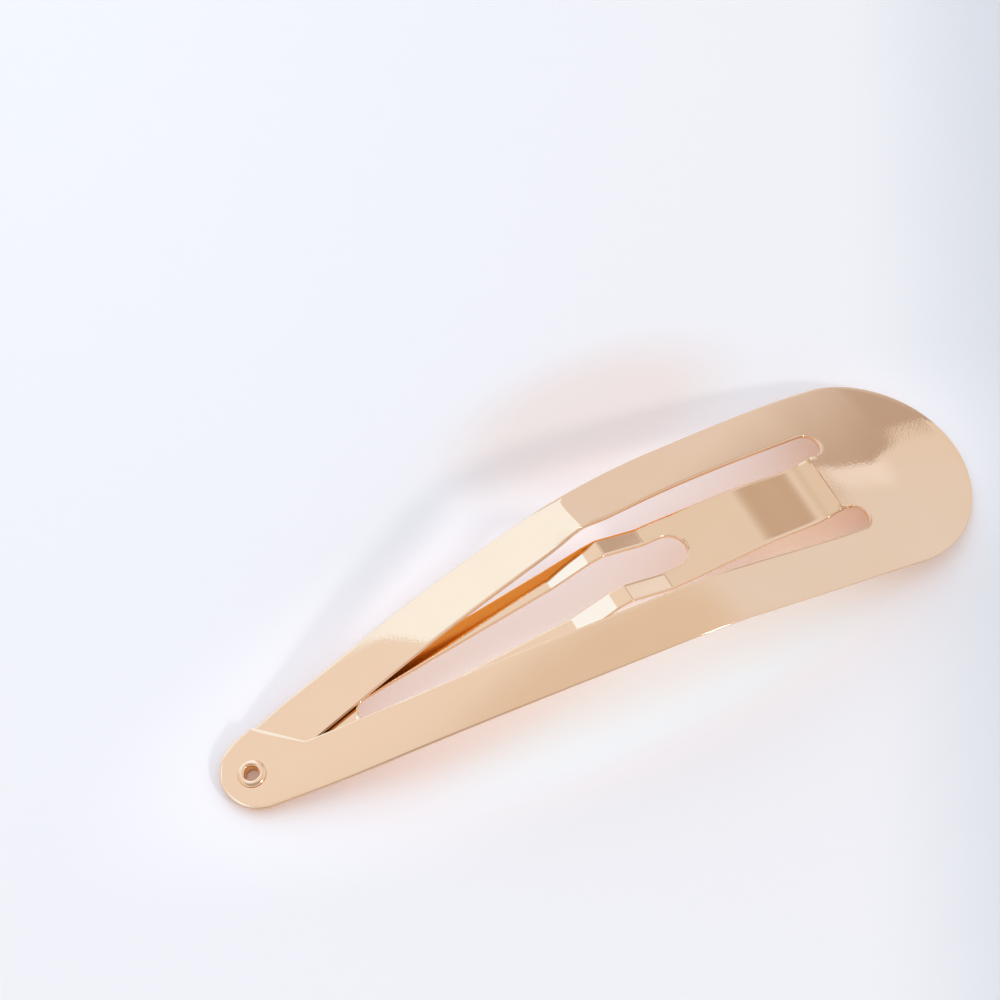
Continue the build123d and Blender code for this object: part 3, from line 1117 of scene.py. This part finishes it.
@dataclass(frozen=True)
class Edge:
    """Straight edge on the dome, which keeps what lies to the left of the way from its start to its stop."""

    start: Spot
    stop: Spot
    blur: float = 0.6

    def mask(self, tree: Tree, way: Socket) -> Socket:
        """Add the nodes that mark the kept side.

        Args:
            tree: The surroundings' node tree.
            way: Direction in the photograph's axes.

        Returns:
            1 on the kept side and 0 on the other.
        """
        across = dome_way(*self.start).cross(dome_way(*self.stop)).normalized()
        reach = add_node(tree, *DOT_PRODUCT, i0=way, i1=across)
        half = math.sin(math.radians(self.blur))
        ramp = add_node(tree, *SOFT_RAMP, Value=reach.outputs["Value"], From_Min=-half, From_Max=half)
        return ramp.outputs["Result"]


@dataclass(frozen=True)
class Panel:
    """Stretch of the tent's wall: where all its bounds overlap, it has its own glow."""

    glow: Glow
    bounds: tuple[Patch | Edge, ...]

    def paint(self, tree: Tree, way: Socket, under: Socket | Tint) -> Socket:
        """Lay the panel over what is under it.

        Args:
            tree: The surroundings' node tree.
            way: Direction in the photograph's axes.
            under: Colour so far.

        Returns:
            The colour with this panel.
        """
        share, *others = [bound.mask(tree, way) for bound in self.bounds]
        for mask in others:
            share = add_node(tree, *PRODUCT, i0=share, i1=mask).outputs["Value"]
        return add_node(tree, *COLOUR_MIX, i0=share, i6=under, i7=self.glow.linear()).outputs[2]


WALL = Glow("#F4F7FF", 1.02)
GAP = Glow("#FFF5F7", 0.60)         # darkens the head's crown
GAP_SIDE = Patch((90, 0), 64, 88)   # lets the gap fade towards the zenith
LAMP_WHITE = "#CFE5FF"              # white card in the lamp's light

# Bounds are places on the dome, in degrees off the zenith to the right and away from the viewer. In order:
# bright walls to the left, to the right and behind, the dimmer roof, a dim seam that the tongue shows, a
# bright spot at the gap's corner, the gap's inner and its outer part, two lit cards on the left, and the
# viewer's dim side.
TENT = (
    Panel(Glow("#EDF2FF", 1.20), (Patch((-30, 12), 5, 38),)),
    Panel(Glow("#E5EDFF", 1.18), (Patch((40, 30), 8, 36),)),
    Panel(Glow("#ECF1FF", 1.09), (Patch((-4, 72), 10, 30),)),
    Panel(Glow("#FFFCFD", 0.88), (Patch((14, -3), 4, 24),)),
    Panel(Glow("#FFF4EF", 0.68), (Patch((18.5, 44), 1, 11),)),
    Panel(Glow("#E2EBFF", 1.36), (Patch((28.5, 52.5), 1, 5),)),
    Panel(GAP, (GAP_SIDE, Edge((20, 52.7), (26.5, 53), 0.25), Edge((26.5, 53), (28.6, 54.2), 0.25),
                Edge((28.6, 54.2), (30.7, 59.9), 0.3), Edge((30.75, 59.9), (29.4, 62.6), 0.4))),
    Panel(GAP, (GAP_SIDE, Edge((20, 62.8), (45, 62.8), 0.4), Edge((28.5, 63), (33.2, 72), 0.4),
                Edge((27.3, 63.8), (29.9, 60), 0.4))),
    Panel(Glow(LAMP_WHITE, 1.78), (Edge((-49.5, 24), (-35.8, 26.3), 0.8),
                                   Edge((-36.5, 26.5), (-42, 55), 0.8))),
    Panel(Glow("#C3DDFF", 2.12), (Edge((-20.5, -10), (-31.5, 14), 0.8), Edge((-31.5, 14), (-42, 22), 0.8),
                                  Edge((-38.5, 8), (-34, -4), 0.8))),
    Panel(Glow("#FFF5FB", 0.55), (Edge((40, -15), (-40, -15), 4.0), Patch((0, -40), 20, 50))),
)


@dataclass(frozen=True)
class LitCard:
    """White card in the lamp's light, near enough that the clip's two ends see it in different directions."""

    name: str = "lit_card"
    tint: str = LAMP_WHITE
    edge_tint: str = "#CDE3FE"
    gain: float = 1.85
    cloud_mm: float = 60.0
    distance: float = 200.0
    face_height: float = 5.0        # of the clip's faces that see the corners
    # Columns: corner as a place on the dome, and the part's own station and side that see it there.
    corners: tuple[tuple[Spot, Spot], ...] = (
        ((-36.5, 27.0), (23, -5)), ((-25.3, 14.7), (20, -4)), ((-13.0, 34.0), (8, -4)),
        ((-30.5, 80.0), (1, -7)), ((-62.0, 62.0), (1, -7)),
    )

    def finish(self) -> bpy.types.Material:
        """Build the card's glow from nodes on Object coordinates.

        Returns:
            The card's material.
        """
        material, tree, coords = start_material(self.name)
        cloud = add_node(tree, "ShaderNodeTexNoise", Vector=coords.outputs["Object"],
                         Scale=1 / (self.cloud_mm * MM))
        tint = add_node(tree, *COLOUR_MIX, i0=cloud.outputs["Fac"], i6=to_linear(self.tint),
                        i7=to_linear(self.edge_tint))
        glow = add_node(tree, "ShaderNodeEmission", Color=tint.outputs[2], Strength=self.gain)
        add_node(tree, "ShaderNodeOutputMaterial", Surface=glow.outputs["Emission"])
        return material

    def build(self, turn: float) -> Piece:
        """Hang the card where the clip sees its corners in the given directions.

        Args:
            turn: Degrees that the clip is turned by in the photograph's axes.

        Returns:
            The card, which only reflections show.
        """
        start_piece()
        bpy.ops.mesh.primitive_circle_add(vertices=len(self.corners), radius=1, fill_type="NGON")
        card = bpy.context.object
        card.name = self.name
        card.data.name = self.name
        back = Matrix.Rotation(-math.radians(turn), 3, "Z")
        ways = [back @ dome_way(*place) for place, _ in self.corners]
        middle = sum(ways, Vector()).normalized()
        for vertex, way, (_, (x, y)) in zip(card.data.vertices, ways, self.corners):
            face = Vector((x, y, self.face_height))
            vertex.co = (face + way * (self.distance - face.dot(middle)) / way.dot(middle)) * MM
        card.data.materials.append(self.finish())
        card.visible_camera = False
        return card


@dataclass
class Studio:
    """Floor, light and camera, set out in the photograph's own axes: X right, Y away, Z up."""

    place_x: float = 12.3203        # the clip's origin in those axes
    place_y: float = -12.0901
    turn: float = 217.071           # degrees that the clip is turned by
    elevation: float = 59.4839
    roll: float = 8.257
    distance: float = 403.2
    focal_px: float = 3753.39
    frame_px: float = 1000.0
    sensor: float = 36.0
    view_range: Spot = (0.01, 20.0)             # nearest and farthest that the camera sees, in metres
    floor_size: float = 6.0                     # metres
    dim_way: Point = (1.0, 0.12, 0.0)           # the way in which the floor gets dimmer
    key_place: Spot = (47.4, -28.3)             # degrees off the zenith, to the right and away
    key_spread: float = 7.0
    key_power: float = 0.6

    def to_part(self, point: Point) -> Vector:
        """Turn a place in the photograph's axes into the part's, in metres."""
        return self.direction(Vector(point) - Vector((self.place_x, self.place_y, 0))) * MM

    def direction(self, way: Point) -> Vector:
        """Turn a direction in the photograph's axes into the part's."""
        return Matrix.Rotation(-math.radians(self.turn), 3, "Z") @ Vector(way)

    def add_camera(self) -> None:
        """Set the camera as the photograph's view was solved."""
        rise = math.radians(self.elevation)
        roll = math.radians(self.roll)
        away = self.direction((0, math.cos(rise), -math.sin(rise)))
        level = self.direction((1, 0, 0))
        upright = self.direction((0, math.sin(rise), math.cos(rise)))
        right = level * math.cos(roll) + upright * math.sin(roll)
        up = upright * math.cos(roll) - level * math.sin(roll)
        lens = bpy.data.cameras.new("photo_camera")
        lens.sensor_width = self.sensor
        lens.lens = self.sensor * self.focal_px / self.frame_px
        lens.clip_start, lens.clip_end = self.view_range
        camera = bpy.data.objects.new("photo_camera", lens)
        bpy.context.scene.collection.objects.link(camera)
        turn = Matrix((right, up, -away)).transposed().to_4x4()
        spot = self.to_part((0, -self.distance * math.cos(rise), self.distance * math.sin(rise)))
        camera.matrix_world = Matrix.Translation(spot) @ turn
        bpy.context.scene.camera = camera

    def add_floor(self) -> None:
        """Lay the paper that the clip lies on."""
        start_piece()
        bpy.ops.mesh.primitive_plane_add(size=self.floor_size)
        floor = bpy.context.object
        floor.name = "studio_floor"
        floor.data.materials.append(PaperFloor().build(self.direction(self.dim_way)))

    def add_card(self) -> None:
        """Hang the lit card beside the clip."""
        LitCard().build(self.turn)

    def add_sun(self) -> None:
        """Shine the small hard lamp that casts the clip's shadow up and to the left."""
        light = bpy.data.lights.new("key_lamp", "SUN")
        light.energy = self.key_power
        light.angle = math.radians(self.key_spread)
        lamp = bpy.data.objects.new("key_lamp", light)
        bpy.context.scene.collection.objects.link(lamp)
        towards = self.direction(dome_way(*self.key_place))
        lamp.matrix_world = towards.to_track_quat("Z", "Y").to_matrix().to_4x4()

    def add_world(self) -> None:
        """Surround the clip with the tent's pale walls, its bright panels and its dimmer gaps."""
        world = bpy.data.worlds.new("light_tent")
        bpy.context.scene.world = world
        world.use_nodes = True
        tree = world.node_tree
        tree.nodes.clear()
        way = add_node(tree, "ShaderNodeTexCoord").outputs["Generated"]
        turned = add_node(tree, "ShaderNodeMapping", {"vector_type": "VECTOR"}, Vector=way,
                          Rotation=(0, 0, math.radians(self.turn))).outputs["Vector"]
        glow = WALL.linear()
        for panel in TENT:
            glow = panel.paint(tree, turned, glow)
        back = add_node(tree, "ShaderNodeBackground", Color=glow, Strength=1.0)
        add_node(tree, "ShaderNodeOutputWorld", Surface=back.outputs["Background"])

    def build(self) -> None:
        """Set up the whole studio."""
        bpy.context.scene.view_settings.view_transform = "Standard"
        self.add_floor()
        self.add_card()
        self.add_world()
        self.add_sun()
        self.add_camera()


def main() -> None:
    """Build the clip and its studio and report each piece."""
    logging.basicConfig(level=logging.INFO, format="%(name)s %(message)s")
    HairClip().build()
    Studio().build()


if __name__ == "__main__":
    main()
